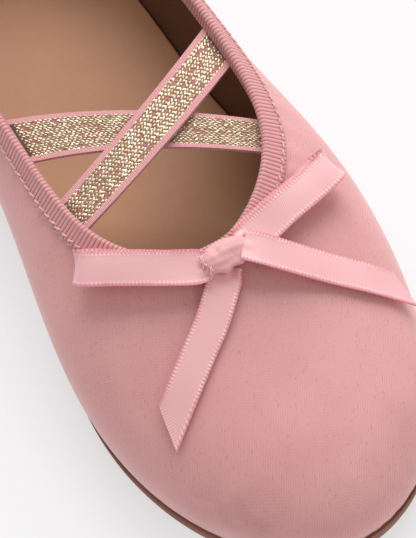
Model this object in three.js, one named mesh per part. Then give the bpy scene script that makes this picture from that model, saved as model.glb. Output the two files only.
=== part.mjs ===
// A child's left ballet flat: moulded sole, insole, lasted upper, collar binding,
// two crossed elastic straps and a ribbon bow. Millimetres, toe along +X, left along +Y, +Z up.
import * as THREE from "three";
import { mergeVertices } from "three/addons/utils/BufferGeometryUtils.js";

// Driving sizes of the last
const LAST_LENGTH = 202;
const BALL_WIDTH = 72;
const VAMP_LENGTH = 66.2; // toe tip back to the throat
const INSTEP_HEIGHT = 36.7; // throat above the floor
const SIDE_HEIGHT = 38.5; // collar at the waist
const HEEL_HEIGHT = 50; // collar at the back of the heel
const GAP = 0.3; // clearance between neighbouring pieces

// Sole
const SOLE_THICKNESS = 4.4;
const HEEL_SEAT = 10.5; // top of the sole under the heel
const TOE_SPRING = 4.2;
const SEAT_FALL = { from: 0.16, to: 0.64 }; // shares of the length where the seat falls to the ball
const SPRING_START = 0.75; // share of the length where the toe starts to lift
const HEEL_BREAST = 0.25; // share of the length where the heel block ends
const BREAST_RUN = 0.008;
const SOLE_MARGIN = 0.7; // sole edge beyond the foot of the upper
const TREAD_INSET = 0.6; // bottom edge inside the top edge
const INSOLE_THICKNESS = 2;

// Upper and binding
const WALL = 1.6;
const TAPE = 0.7; // thickness of the binding tape
const TAPE_OUTSIDE = 5; // depth of the tape down the outside
const TAPE_INSIDE = 4;
const FOOT_PULL = 0.68; // how far a section climbs before it turns in, as a share of its rise
const RIM_PULL = 0.372; // the same at the rim, as a share of its chord

// Straps and bow
const STRAP_THICKNESS = 1.1;
const STRAP_DROP = 2.2; // strap ends below the rim, where the collar seam holds them
const RIBBON_WIDTH = 7.6;
const RIBBON_THICKNESS = 0.8;
const FACING_SHARE = 0.5; // how far the ribbons face with the knot rather than the upper under them
const KNOT = { length: 11, width: 6.4, height: 5 };

const THROAT_X = LAST_LENGTH - VAMP_LENGTH;

// One row for each section round the shoe, from the toe along the inner side
// to the heel and back along the outer side.
// footX, footY: where the section meets the sole, as shares of the last's length and of the ball width.
// rimX, rimY, rimZ: where it meets the collar. lean: outward lean at the foot.
// crown: slope at the rim, degrees.
const SECTIONS = [
  {
    at: "toe tip",
    footX: 1, footY: -0.016, lean: 0.3, crown: 18,
    rimX: THROAT_X, rimY: 0, rimZ: INSTEP_HEIGHT,
  },
  {
    at: "big toe",
    footX: 0.918, footY: -0.38, lean: 0.3, crown: 20,
    rimX: THROAT_X - 2, rimY: -9, rimZ: INSTEP_HEIGHT + 0.6,
  },
  {
    at: "inner ball",
    footX: 0.707, footY: -0.531, lean: 0.28, crown: 34,
    rimX: THROAT_X - 17.9, rimY: -21.6, rimZ: INSTEP_HEIGHT + 1.2,
  },
  {
    at: "inner waist",
    footX: 0.445, footY: -0.385, lean: 0.47, crown: 66,
    rimX: THROAT_X - 53.4, rimY: -24.6, rimZ: SIDE_HEIGHT,
  },
  {
    at: "inner heel",
    footX: 0.155, footY: -0.325, lean: 0.3, crown: 80,
    rimX: 33, rimY: -22.3, rimZ: SIDE_HEIGHT + 4.4,
  },
  {
    at: "heel back",
    footX: 0, footY: 0, lean: 0.3, crown: 84,
    rimX: 7, rimY: 0, rimZ: HEEL_HEIGHT,
  },
  {
    at: "outer heel",
    footX: 0.155, footY: 0.325, lean: 0.3, crown: 80,
    rimX: 33, rimY: 22.7, rimZ: SIDE_HEIGHT + 4.4,
  },
  {
    at: "outer waist",
    footX: 0.424, footY: 0.392, lean: 0.41, crown: 66,
    rimX: THROAT_X - 55.4, rimY: 29, rimZ: SIDE_HEIGHT,
  },
  {
    at: "outer ball",
    footX: 0.65, footY: 0.521, lean: 0.33, crown: 34,
    rimX: THROAT_X - 19, rimY: 24.6, rimZ: INSTEP_HEIGHT + 0.8,
  },
  {
    at: "little toe",
    footX: 0.9, footY: 0.378, lean: 0.3, crown: 20,
    rimX: THROAT_X - 2, rimY: 9, rimZ: INSTEP_HEIGHT + 0.4,
  },
];

// The binding's section: down the wall from the rim, and off its outer face
const INNER_FACE = -WALL - GAP;
const TAPE_SECTION = [
  { down: TAPE_OUTSIDE, off: GAP },
  { down: TAPE_OUTSIDE, off: GAP + TAPE },
  { down: 1, off: GAP + TAPE },
  { down: -GAP - 0.6 * TAPE, off: 0.5 * TAPE },
  { down: -GAP - TAPE, off: -0.5 * WALL },
  { down: -GAP - 0.6 * TAPE, off: -WALL - 0.5 * TAPE },
  { down: 1, off: INNER_FACE - TAPE },
  { down: TAPE_INSIDE, off: INNER_FACE - TAPE },
  { down: TAPE_INSIDE, off: INNER_FACE },
  { down: -GAP, off: INNER_FACE },
  { down: -GAP, off: GAP },
];

// Each strap runs from the inner side to the outer side of the collar. Turns are the places round the collar
// of its back and front edges, lift is the rise of its arch and sway its bend towards the heel.
const STRAPS = [
  {
    name: "strap_under",
    inner: { back: 0.3045, front: 0.2755 },
    outer: { back: 0.781, front: 0.811 },
    lift: 1.4,
    sway: 2.1,
  },
  {
    name: "strap_over",
    inner: { back: 0.242, front: 0.209 },
    outer: { back: 0.705, front: 0.734 },
    lift: 3.2,
    sway: -2.4,
  },
];

// Ribbon routes on the upper, a row for each place: turn round the shoe, distance down from the rim
// and height off the upper. A loop goes out at its lower height and comes back at its upper height.
// Roll turns a ribbon about its own line, degrees, and slant is how far its end is cut askew.
const BOW_PLACE = { turn: 0.985, down: 4.1, off: 4.2 };
const LOOPS = [
  {
    name: "bow_loop_medial",
    route: [
      { turn: 0.06, down: 4.1, lower: 2, upper: 4.4 },
      { turn: 0.105, down: 3.4, lower: 2, upper: 5 },
      { turn: 0.138, down: 3.8, lower: 2, upper: 5.2 },
      { turn: 0.164, down: 5.2, lower: 2.2, upper: 5.3 },
      { turn: 0.188, down: 7.6, lower: 2.6, upper: 5.3 },
    ],
  },
  {
    name: "bow_loop_lateral",
    route: [
      { turn: 0.9, down: 5, lower: 1.9, upper: 3.3 },
      { turn: 0.87, down: 7, lower: 2.2, upper: 4.4 },
      { turn: 0.844, down: 10.5, lower: 2.6, upper: 5.4 },
      { turn: 0.824, down: 13.7, lower: 3.2, upper: 5.8 },
    ],
  },
];
const TAILS = [
  {
    name: "bow_tail_medial",
    route: [
      { turn: 0.017, down: 9.1, off: 2.2 },
      { turn: 0.057, down: 16.3, off: 1.9 },
      { turn: 0.081, down: 22.3, off: 1.7 },
      { turn: 0.098, down: 28.5, off: 1.7 },
      { turn: 0.118, down: 38.3, off: 1.8 },
    ],
    roll: -5,
    slant: 8,
  },
  {
    name: "bow_tail_lateral",
    route: [
      { turn: 0.93, down: 7.3, off: 5.3 },
      { turn: 0.909, down: 14.3, off: 3.8 },
      { turn: 0.892, down: 22.5, off: 2 },
      { turn: 0.879, down: 31.2, off: 1.7 },
      { turn: 0.869, down: 38.7, off: 1.9 },
    ],
    roll: -10,
    slant: -6,
  },
];

// Facets
const SPLINE_PASSES = 40;
const ROUND_STEPS = 80;
const WALL_STEPS = 11;
const SOLE_STEPS = 44;
const SOLE_COLUMNS = 7;
const STRAP_STEPS = 22;
const RIBBON_STEPS = 14;
const FOLD_STEPS = 5;

// A smooth closed curve through rows of numbers: a uniform cubic B-spline
// whose control rows are corrected until the curve passes through the rows.
function closedSpline(rows) {
  const count = rows.length;
  const row = (list, i) => list[(i + count) % count];
  let controls = rows;
  for (let pass = 0; pass < SPLINE_PASSES; pass++) {
    const last = controls;
    const onCurve = (i, k) => (row(last, i - 1)[k] + 4 * row(last, i)[k] + row(last, i + 1)[k]) / 6;
    controls = last.map((values, i) => values.map((value, k) => value + rows[i][k] - onCurve(i, k)));
  }
  return (turn) => {
    const place = (turn - Math.floor(turn)) * count;
    const i = Math.floor(place);
    const f = place - i;
    const weights = [(1 - f) ** 3, 3 * f ** 3 - 6 * f ** 2 + 4, -3 * f ** 3 + 3 * f ** 2 + 3 * f + 1, f ** 3];
    const blend = (k) => weights.reduce((sum, w, n) => sum + (w * row(controls, i + n - 1)[k]) / 6, 0);
    return rows[0].map((_, k) => blend(k));
  };
}

const ease = (value) => {
  const t = THREE.MathUtils.clamp(value, 0, 1);
  return t * t * (3 - 2 * t);
};

// Top of the sole at x: the heel seat eases down to the ball, and the toe lifts in a parabola
function seatHeight(x) {
  const share = x / LAST_LENGTH;
  const fall = 1 - ease((share - SEAT_FALL.from) / (SEAT_FALL.to - SEAT_FALL.from));
  const lift = Math.max(0, (share - SPRING_START) / (1 - SPRING_START));
  return SOLE_THICKNESS + (HEEL_SEAT - SOLE_THICKNESS) * fall + TOE_SPRING * lift ** 2;
}

// Bottom of the sole: flat under the heel block, then one thickness below the seat
function treadHeight(x) {
  const step = ease((x / LAST_LENGTH - HEEL_BREAST) / BREAST_RUN);
  return step * Math.max(0, seatHeight(x) - SOLE_THICKNESS);
}

const sectionAt = closedSpline(
  SECTIONS.map((s) => [
    s.footX * LAST_LENGTH,
    s.footY * BALL_WIDTH,
    s.rimX,
    s.rimY,
    s.rimZ,
    s.lean,
    THREE.MathUtils.degToRad(s.crown),
  ]),
);

// The section at a turn round the shoe as a cubic Bezier curve from its foot to the collar rim
function meridian(turn) {
  const NUDGE = 1e-3;
  const INWARD_REACH = 12; // keeps the rim's direction steady on upright walls
  const [footX, footY, rimX, rimY, rimZ, lean, crown] = sectionAt(turn);
  const before = sectionAt(turn - NUDGE);
  const after = sectionAt(turn + NUDGE);
  const inward = new THREE.Vector3(after[1] - before[1], before[0] - after[0], 0).normalize();
  const foot = new THREE.Vector3(footX, footY, seatHeight(footX) + GAP);
  const rim = new THREE.Vector3(rimX, rimY, rimZ);
  const level = rim.clone().sub(foot).setZ(0).addScaledVector(inward, INWARD_REACH).normalize();
  const footTangent = inward.clone().multiplyScalar(-lean).setZ(1).normalize();
  const rimTangent = level.multiplyScalar(Math.cos(crown)).setZ(Math.sin(crown));
  const chord = rim.distanceTo(foot);
  const footHandle = foot.clone().addScaledVector(footTangent, FOOT_PULL * (rim.z - foot.z));
  const rimHandle = rim.clone().addScaledVector(rimTangent, -RIM_PULL * chord);
  const curve = new THREE.CubicBezierCurve3(foot, footHandle, rimHandle, rim);
  curve.rimSpeed = 3 * RIM_PULL * chord; // millimetres of wall for a whole unit of rise, at the rim
  return curve;
}

// The upper's outer face, and points off it along its outward normal
const upperPoint = (turn, rise) => meridian(turn).getPoint(rise, new THREE.Vector3());

function upperNormal(turn, rise) {
  const NUDGE = 1e-3;
  const along = upperPoint(turn + NUDGE, rise).sub(upperPoint(turn - NUDGE, rise));
  const up = upperPoint(turn, rise + NUDGE).sub(upperPoint(turn, rise - NUDGE));
  return up.cross(along).normalize();
}

const offUpper = (turn, rise, off) => upperPoint(turn, rise).addScaledVector(upperNormal(turn, rise), off);

// The rise that lies a distance down the wall from the rim
function riseBelowRim(turn, down) {
  const curve = meridian(turn);
  if (down <= 0) return 1 - down / curve.rimSpeed;
  const STEPS = 24;
  let rise = 1;
  for (let i = 0; i < STEPS; i++) rise -= down / STEPS / slopeLength(curve, rise);
  return rise;
}

function slopeLength(curve, rise) {
  const NUDGE = 1e-3;
  const above = curve.getPoint(rise + NUDGE, new THREE.Vector3());
  const below = curve.getPoint(rise - NUDGE, new THREE.Vector3());
  return above.distanceTo(below) / (2 * NUDGE);
}

const belowRim = (turn, down, off) => offUpper(turn, riseBelowRim(turn, down), off);

// A closed solid from loops of points: each loop closes on itself, and the loops
// either close into a ring, or end in caps that zip a loop's two halves together.
function solidOfLoops(loops, { ring = false } = {}) {
  const size = loops[0].length;
  const triangles = [];
  const quad = (a, b, c, d) => triangles.push(a, c, b, a, d, c);
  const last = ring ? loops.length : loops.length - 1;
  for (let i = 0; i < last; i++) {
    const near = i * size;
    const far = ((i + 1) % loops.length) * size;
    for (let j = 0; j < size; j++) {
      const next = (j + 1) % size;
      quad(near + j, far + j, far + next, near + next);
    }
  }
  if (!ring) {
    const end = (loops.length - 1) * size;
    for (let j = 0; j < size / 2 - 1; j++) {
      quad(j, j + 1, size - 2 - j, size - 1 - j);
      quad(end + size - 1 - j, end + size - 2 - j, end + j + 1, end + j);
    }
  }
  const positions = loops.flat().flatMap((p) => [p.x, p.y, p.z]);
  const loose = new THREE.BufferGeometry();
  loose.setAttribute("position", new THREE.Float32BufferAttribute(positions, 3));
  loose.setIndex(triangles);
  const MERGE = 1e-3;
  const merged = mergeVertices(loose, MERGE);
  const kept = [];
  for (let i = 0; i < merged.index.count; i += 3) {
    const [a, b, c] = merged.index.array.slice(i, i + 3);
    if (a !== b && b !== c && c !== a) kept.push(a, b, c);
  }
  merged.setIndex(kept);
  merged.computeVertexNormals();
  return merged;
}

const steps = (count) => Array.from({ length: count + 1 }, (_, i) => i / count);

// A slab inside an outline: each row joins an inner-side point to the outer-side point across from it
function slab(stations, top, bottom) {
  const loops = stations.map((station) => {
    const middleX = rowMiddle(station);
    const row = ({ plan, height }) => {
      const inner = plan(station / 2);
      const outer = plan(1 - station / 2);
      return steps(SOLE_COLUMNS).map((t) => {
        const p = inner.clone().lerp(outer, t);
        return p.setZ(height(p.x, middleX));
      });
    };
    return [...row(top), ...row(bottom).reverse()];
  });
  return solidOfLoops(loops);
}

// The middle of a row, and the station, from 0 at the toe to 1 at the heel, whose row has its middle at x
const rowMiddle = (station) => (footOutline(station / 2, 0).x + footOutline(1 - station / 2, 0).x) / 2;

function stationAt(x) {
  const HALVINGS = 30;
  let low = 0;
  let high = 1;
  for (let i = 0; i < HALVINGS; i++) {
    const middle = (low + high) / 2;
    if (rowMiddle(middle) > x) low = middle;
    else high = middle;
  }
  return low;
}

// The foot of the upper in plan, moved outwards
function footOutline(turn, out) {
  const NUDGE = 1e-3;
  const [x, y] = sectionAt(turn);
  const before = sectionAt(turn - NUDGE);
  const after = sectionAt(turn + NUDGE);
  const outward = new THREE.Vector3(before[1] - after[1], after[0] - before[0], 0).normalize();
  return new THREE.Vector3(x, y, 0).addScaledVector(outward, out);
}

function makeOutsole() {
  const breast = [HEEL_BREAST, HEEL_BREAST + BREAST_RUN].map((share) => stationAt(share * LAST_LENGTH));
  const stations = [...steps(SOLE_STEPS), ...breast].sort((a, b) => a - b);
  const top = { plan: (turn) => footOutline(turn, SOLE_MARGIN), height: seatHeight };
  const bottom = {
    plan: (turn) => footOutline(turn, SOLE_MARGIN - TREAD_INSET),
    height: (x, middleX) => treadHeight(middleX),
  };
  return slab(stations, top, bottom);
}

function makeInsole() {
  const plan = (turn) => footOutline(turn, -WALL - 2 * GAP);
  const top = { plan, height: (x) => seatHeight(x) + GAP + INSOLE_THICKNESS };
  const bottom = { plan, height: (x) => seatHeight(x) + GAP };
  return slab(steps(SOLE_STEPS), top, bottom);
}

function makeUpper() {
  const loops = steps(ROUND_STEPS)
    .slice(1)
    .map((turn) => {
      const outside = steps(WALL_STEPS).map((rise) => upperPoint(turn, rise));
      const inside = steps(WALL_STEPS).map((rise) => offUpper(turn, rise, -WALL));
      return [...outside, ...inside.reverse()];
    });
  return solidOfLoops(loops, { ring: true });
}

function makeBinding() {
  const loops = steps(ROUND_STEPS)
    .slice(1)
    .map((turn) => TAPE_SECTION.map(({ down, off }) => belowRim(turn, down, off)));
  return solidOfLoops(loops, { ring: true });
}

// A strap is two edge lines with a thickness, arched across between the collar's inner faces
function makeStrap({ inner, outer, lift, sway }) {
  const off = INNER_FACE - TAPE - 2 * GAP;
  const edge = (from, to) => {
    const start = belowRim(from, STRAP_DROP, off);
    const end = belowRim(to, STRAP_DROP, off);
    return (t) => {
      const arch = 4 * t * (1 - t);
      return start.clone().lerp(end, t).add(new THREE.Vector3(-sway * arch, 0, lift * arch));
    };
  };
  const back = edge(inner.back, outer.back);
  const front = edge(inner.front, outer.front);
  const NUDGE = 1e-3;
  const loops = steps(STRAP_STEPS).map((t) => {
    const a = back(t);
    const b = front(t);
    const along = back(t + NUDGE).add(front(t + NUDGE)).sub(back(t - NUDGE)).sub(front(t - NUDGE));
    const up = along.cross(a.clone().sub(b)).normalize().multiplyScalar(STRAP_THICKNESS / 2);
    const middle = a.clone().lerp(b, 0.5);
    const over = [a, middle, b].map((p) => p.clone().add(up));
    const under = [b, middle, a].map((p) => p.clone().sub(up));
    return [...over, ...under];
  });
  return solidOfLoops(loops);
}

// A ribbon along frames of a centre point and an across direction; slant shears its far end for the cut
function ribbonAlong(frames, count, slant = 0) {
  const centre = new THREE.CatmullRomCurve3(frames.map((f) => f.point), false, "centripetal");
  const acrossLine = new THREE.CatmullRomCurve3(frames.map((f) => f.across), false, "catmullrom");
  const loops = steps(count).map((t) => {
    const point = centre.getPoint(t);
    const along = centre.getTangent(t);
    const across = acrossLine.getPoint(t);
    across.addScaledVector(along, -across.dot(along)).normalize();
    const up = along.clone().cross(across).multiplyScalar(RIBBON_THICKNESS / 2);
    const cut = t === 1 ? slant / 2 : 0;
    const edge = (side) =>
      point.clone().addScaledVector(across, (side * RIBBON_WIDTH) / 2).addScaledVector(along, side * cut);
    const over = [-1, 0, 1].map((side) => edge(side).add(up));
    const under = [1, 0, -1].map((side) => edge(side).sub(up));
    return [...under.reverse(), ...over.reverse()];
  });
  return solidOfLoops(loops);
}

// Frames for a ribbon along points off the upper: it faces between the upper's own normal and the knot's
function ribbonFrames(route, heightName, roll = 0) {
  const points = route.map((place) => belowRim(place.turn, place.down, place[heightName]));
  const knotFacing = upperNormal(BOW_PLACE.turn, riseBelowRim(BOW_PLACE.turn, BOW_PLACE.down));
  return points.map((point, i) => {
    const { turn, down } = route[i];
    const next = points[Math.min(i + 1, points.length - 1)];
    const along = next.clone().sub(points[Math.max(i - 1, 0)]).normalize();
    const facing = upperNormal(turn, riseBelowRim(turn, down)).lerp(knotFacing, FACING_SHARE);
    const across = facing.cross(along).normalize().applyAxisAngle(along, THREE.MathUtils.degToRad(roll));
    return { point, across };
  });
}

function makeLoop({ route }) {
  const FOLD = 1.4; // reach of the fold beyond the loop's last place
  const out = ribbonFrames(route, "lower");
  const back = ribbonFrames(route, "upper").reverse();
  const outward = out.at(-1).point.clone().sub(out.at(-2).point).normalize();
  const tip = out.at(-1).point.clone().lerp(back[0].point, 0.5).addScaledVector(outward, FOLD);
  const fold = { point: tip, across: out.at(-1).across };
  return ribbonAlong([...out, fold, ...back], 2 * RIBBON_STEPS + FOLD_STEPS);
}

function makeTail({ route, roll, slant }) {
  return ribbonAlong(ribbonFrames(route, "off", roll), RIBBON_STEPS, slant);
}

// The knot is a short barrel across the bow, round in section and drawn in at both ends
function makeKnot() {
  const SIDES = 14;
  const RINGS = 8;
  const { turn, down, off } = BOW_PLACE;
  const centre = belowRim(turn, down, off);
  const up = upperNormal(turn, riseBelowRim(turn, down));
  const across = new THREE.Vector3(-1, 0, 0).addScaledVector(up, up.x).normalize();
  const along = across.clone().cross(up);
  const loops = steps(RINGS).map((t) => {
    const swell = 0.62 + 0.38 * Math.sin(Math.PI * t);
    const ring = centre.clone().addScaledVector(along, (t - 0.5) * KNOT.length);
    return steps(SIDES).slice(1).map((a) => {
      const angle = 2 * Math.PI * a;
      return ring
        .clone()
        .addScaledVector(across, (Math.cos(angle) * swell * KNOT.width) / 2)
        .addScaledVector(up, (Math.sin(angle) * swell * KNOT.height) / 2);
    });
  });
  return solidOfLoops(loops);
}

// Finishes
function finish(color, roughness, metalness = 0) {
  return new THREE.MeshStandardMaterial({ color, roughness, metalness });
}
const satin = finish(0xdba09e, 0.45);
const ribbonSatin = finish(0xefb4ba, 0.35);
const grosgrain = finish(0xcf9094, 0.7);
const glitterElastic = finish(0xb9a67c, 0.4, 0.4);
const tanLeather = finish(0xb4876a, 0.6);
const brownRubber = finish(0x8a6152, 0.7);

const shoe = new THREE.Group();

function addPiece(name, geometry, material) {
  const mesh = new THREE.Mesh(geometry, material);
  mesh.name = name;
  shoe.add(mesh);
}

addPiece("outsole", makeOutsole(), brownRubber);
addPiece("insole", makeInsole(), tanLeather);
addPiece("upper", makeUpper(), satin);
addPiece("collar_binding", makeBinding(), grosgrain);
for (const strap of STRAPS) addPiece(strap.name, makeStrap(strap), glitterElastic);
for (const loop of LOOPS) addPiece(loop.name, makeLoop(loop), ribbonSatin);
for (const tail of TAILS) addPiece(tail.name, makeTail(tail), ribbonSatin);
addPiece("bow_knot", makeKnot(), ribbonSatin);

// The origin is the middle of the shoe's box, on the floor
const middle = new THREE.Box3().setFromObject(shoe, true).getCenter(new THREE.Vector3());
shoe.position.set(-middle.x, -middle.y, 0);

const part = new THREE.Group();
part.add(shoe);
export default part;
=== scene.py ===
import bmesh
import bpy
import numpy as np
from mathutils import Matrix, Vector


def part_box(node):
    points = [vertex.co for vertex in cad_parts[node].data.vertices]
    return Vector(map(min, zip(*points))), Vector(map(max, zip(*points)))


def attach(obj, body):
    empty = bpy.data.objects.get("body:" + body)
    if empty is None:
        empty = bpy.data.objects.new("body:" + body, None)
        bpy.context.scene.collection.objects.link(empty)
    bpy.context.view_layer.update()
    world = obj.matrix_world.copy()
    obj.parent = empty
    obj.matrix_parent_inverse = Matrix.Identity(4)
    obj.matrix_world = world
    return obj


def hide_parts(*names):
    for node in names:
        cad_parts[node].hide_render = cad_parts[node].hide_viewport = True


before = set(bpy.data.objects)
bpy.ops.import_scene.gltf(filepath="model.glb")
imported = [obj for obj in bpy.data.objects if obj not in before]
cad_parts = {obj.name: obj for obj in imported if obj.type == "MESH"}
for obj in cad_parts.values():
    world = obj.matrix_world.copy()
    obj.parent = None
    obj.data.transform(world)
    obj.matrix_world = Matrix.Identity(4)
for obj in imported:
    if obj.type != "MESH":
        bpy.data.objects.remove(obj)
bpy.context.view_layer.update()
print("frame:", len(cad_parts), "nodes")

# The last

last = {
    "length": 202.0,
    "ballWidth": 72.0,
    "footPull": 0.68,      # how far a section climbs before it turns in, share of its rise
    "rimPull": 0.372,      # the same at the collar, share of its chord
    "inwardReach": 12.0,   # keeps the rim's direction steady on upright walls
    "gap": 0.3,
    "wall": 1.6,
    "soleThickness": 4.4,
    "heelSeat": 10.5,
    "toeSpring": 4.2,
    "seatFall": (0.16, 0.64),
    "springStart": 0.75,
    "heelBreast": 0.25,
    "breastRun": 0.008,
    "soleMargin": 0.7,
    "treadInset": 0.6,
}

# A row for each section, from the toe along the inner side to the heel and back along the outer side
sectionRows = np.array([
    # foot x, y (shares), collar x, y, z, outward lean, slope at the collar in degrees
    (1.000, -0.016, 135.8, 0.0, 36.7, 0.30, 18),     # toe tip
    (0.918, -0.380, 133.8, -9.0, 37.3, 0.30, 20),    # big toe
    (0.707, -0.531, 117.9, -21.6, 37.9, 0.28, 34),   # inner ball
    (0.445, -0.385, 82.4, -24.6, 38.5, 0.47, 66),    # inner waist
    (0.155, -0.325, 33.0, -22.3, 42.9, 0.30, 80),    # inner heel
    (0.000, 0.000, 7.0, 0.0, 50.0, 0.30, 84),        # heel back
    (0.155, 0.325, 33.0, 22.7, 42.9, 0.30, 80),      # outer heel
    (0.424, 0.392, 80.4, 29.0, 38.5, 0.41, 66),      # outer waist
    (0.650, 0.521, 116.8, 24.6, 37.5, 0.33, 34),     # outer ball
    (0.900, 0.378, 133.8, 9.0, 37.1, 0.30, 20),      # little toe
]) * (last["length"], last["ballWidth"], 1, 1, 1, 1, np.pi / 180)
nudge = 1e-3
upward = np.array((0.0, 0.0, 1.0))


def unit(vectors):
    # each vector divided by its own length
    return vectors / np.linalg.norm(vectors, axis=-1, keepdims=True)


def ease(value):
    # smooth step, 3t^2 - 2t^3 on t held between 0 and 1
    t = np.clip(value, 0.0, 1.0)
    return t * t * (3 - 2 * t)


def bell(value, centre, width):
    # Gaussian hump, e^-((value - centre) / width)^2
    return np.exp(-((value - centre) / width) ** 2)


def chance(*keys):
    # repeatable scatter from 0 to 1: the fraction of a large multiple of a sine of the keys
    mixed = sum(key * factor for key, factor in zip(keys, (12.9898, 78.233, 37.719)))
    return np.modf(np.abs(np.sin(mixed) * 43758.5453))[0]


def splineControls(rows, passes=40):
    # control rows corrected until the uniform cubic B-spline passes through the rows
    controls = rows.copy()
    for _ in range(passes):
        controls = controls + rows - (np.roll(controls, 1, 0) + 4 * controls + np.roll(controls, -1, 0)) / 6
    return controls


sectionControls = splineControls(sectionRows)


def sectionAt(turn):
    # closed cubic B-spline: four neighbouring control rows weighted by the cubic basis
    count = len(sectionControls)
    place = (np.asarray(turn, float) % 1.0) * count
    i = np.floor(place).astype(int)
    f = (place - i)[..., None]
    weights = ((1 - f) ** 3, 3 * f ** 3 - 6 * f ** 2 + 4, -3 * f ** 3 + 3 * f ** 2 + 3 * f + 1, f ** 3)
    return sum(w * sectionControls[(i + k - 1) % count] for k, w in enumerate(weights)) / 6


def seatHeight(x):
    # top of the sole: the heel seat eases down to the ball and the toe lifts in a parabola
    share = x / last["length"]
    start, end = last["seatFall"]
    fall = 1 - ease((share - start) / (end - start))
    lift = np.maximum(0.0, (share - last["springStart"]) / (1 - last["springStart"]))
    fallen = (last["heelSeat"] - last["soleThickness"]) * fall
    return last["soleThickness"] + fallen + last["toeSpring"] * lift ** 2


def treadHeight(x):
    # bottom of the sole: flat under the heel block, then one thickness below the seat
    step = ease((x / last["length"] - last["heelBreast"]) / last["breastRun"])
    return step * np.maximum(0.0, seatHeight(x) - last["soleThickness"])


def inwardAt(turn):
    # level direction into the shoe, square to the foot outline
    step = sectionAt(turn + nudge) - sectionAt(turn - nudge)
    return unit(np.stack((step[..., 1], -step[..., 0], np.zeros_like(step[..., 0])), -1))


def footOutline(turn, out):
    # foot of the upper in plan, moved outwards
    flat = sectionAt(turn)[..., :2]
    return flat - inwardAt(turn)[..., :2] * np.asarray(out, float)[..., None]


def wallHandles(turn):
    # a section as a cubic Bezier: foot, foot handle, rim handle, rim
    section = sectionAt(turn)
    inward = inwardAt(turn)
    foot = np.stack((section[..., 0], section[..., 1], seatHeight(section[..., 0]) + last["gap"]), -1)
    rim = section[..., 2:5]
    lean = section[..., 5:6]
    crown = section[..., 6:7]
    level = unit((rim - foot) * (1, 1, 0) + last["inwardReach"] * inward)
    climb = unit(upward - lean * inward)
    crest = level * np.cos(crown) + upward * np.sin(crown)
    chord = np.linalg.norm(rim - foot, axis=-1, keepdims=True)
    rise = (rim - foot)[..., 2:]
    return foot, foot + climb * last["footPull"] * rise, rim - crest * last["rimPull"] * chord, rim


def alongWall(handles, rise):
    # Bezier point at a rise from 0 at the foot to 1 at the rim
    a, b, c, d = handles
    t = np.asarray(rise, float)[..., None]
    return a * (1 - t) ** 3 + 3 * b * t * (1 - t) ** 2 + 3 * c * t * t * (1 - t) + d * t ** 3


def wallSlope(handles, rise):
    # derivative of the Bezier by its rise
    a, b, c, d = handles
    t = np.asarray(rise, float)[..., None]
    return 3 * ((b - a) * (1 - t) ** 2 + 2 * (c - b) * t * (1 - t) + (d - c) * t * t)


def wallNormal(turn, rise):
    # outward normal: the slope up the wall crossed with the step round the shoe
    step = alongWall(wallHandles(turn + nudge), rise) - alongWall(wallHandles(turn - nudge), rise)
    return unit(np.cross(wallSlope(wallHandles(turn), rise), step))


def offWall(turn, rise, off):
    # the upper's outer face moved along its normal
    return alongWall(wallHandles(turn), rise) + wallNormal(turn, rise) * np.asarray(off, float)[..., None]


def riseBelow(turn, down, steps=24):
    # the rise that lies a distance down the wall: equal steps of length walked from the rim
    handles = wallHandles(turn)
    rimSpeed = 3 * np.linalg.norm(handles[3] - handles[2], axis=-1)
    rise = 1 - np.minimum(down, 0.0) / rimSpeed
    stride = np.maximum(down, 0.0) / steps
    for _ in range(steps):
        rise = rise - stride / np.linalg.norm(wallSlope(handles, rise), axis=-1)
    return rise


def belowRim(turn, down, off):
    # point a distance down the wall from the rim and off its outer face
    return offWall(turn, riseBelow(turn, down), off)


def evenTurns(count, curve):
    # turns that cut a closed curve round the shoe into equal lengths, and the curve's length
    fine = np.linspace(0.0, 1.0, 6001)
    strides = np.linalg.norm(np.diff(curve(fine), axis=0), axis=-1)
    length = np.concatenate(([0.0], np.cumsum(strides)))
    return np.interp(np.linspace(0.0, length[-1], count, endpoint=False), length, fine), length[-1]


def partShift():
    # the frame's origin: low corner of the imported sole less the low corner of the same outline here
    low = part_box("outsole")[0]
    outline = footOutline(np.linspace(0, 1, 2000), last["soleMargin"]).min(axis=0)
    return np.array((low.x * 1000 - outline[0], low.y * 1000 - outline[1], 0.0))


shift = partShift()
print("shoe to part:", shift.round(3).tolist())

# Meshes


def gridFaces(rows, columns, closeRows, closeColumns):
    # quads between neighbours of a grid, with its last row or column joined to the first
    rowSteps = np.arange(rows - (not closeRows))
    columnSteps = np.arange(columns - (not closeColumns))
    i, j = np.meshgrid(rowSteps, columnSteps, indexing="ij")
    nextI = (i + 1) % rows
    nextJ = (j + 1) % columns
    corners = (i * columns + j, nextI * columns + j, nextI * columns + nextJ, i * columns + nextJ)
    return np.stack(corners, -1).reshape(-1, 4)


def gridUv(u, v):
    # corner pairs for the same quads, from the u of each row line and the v of each column line
    i, j = np.meshgrid(np.arange(len(u) - 1), np.arange(len(v) - 1), indexing="ij")
    corners = [(u[a], v[b]) for a, b in ((i, j), (i + 1, j), (i + 1, j + 1), (i, j + 1))]
    return np.stack([np.stack(pair, -1) for pair in corners], -2).reshape(-1, 2)


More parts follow.
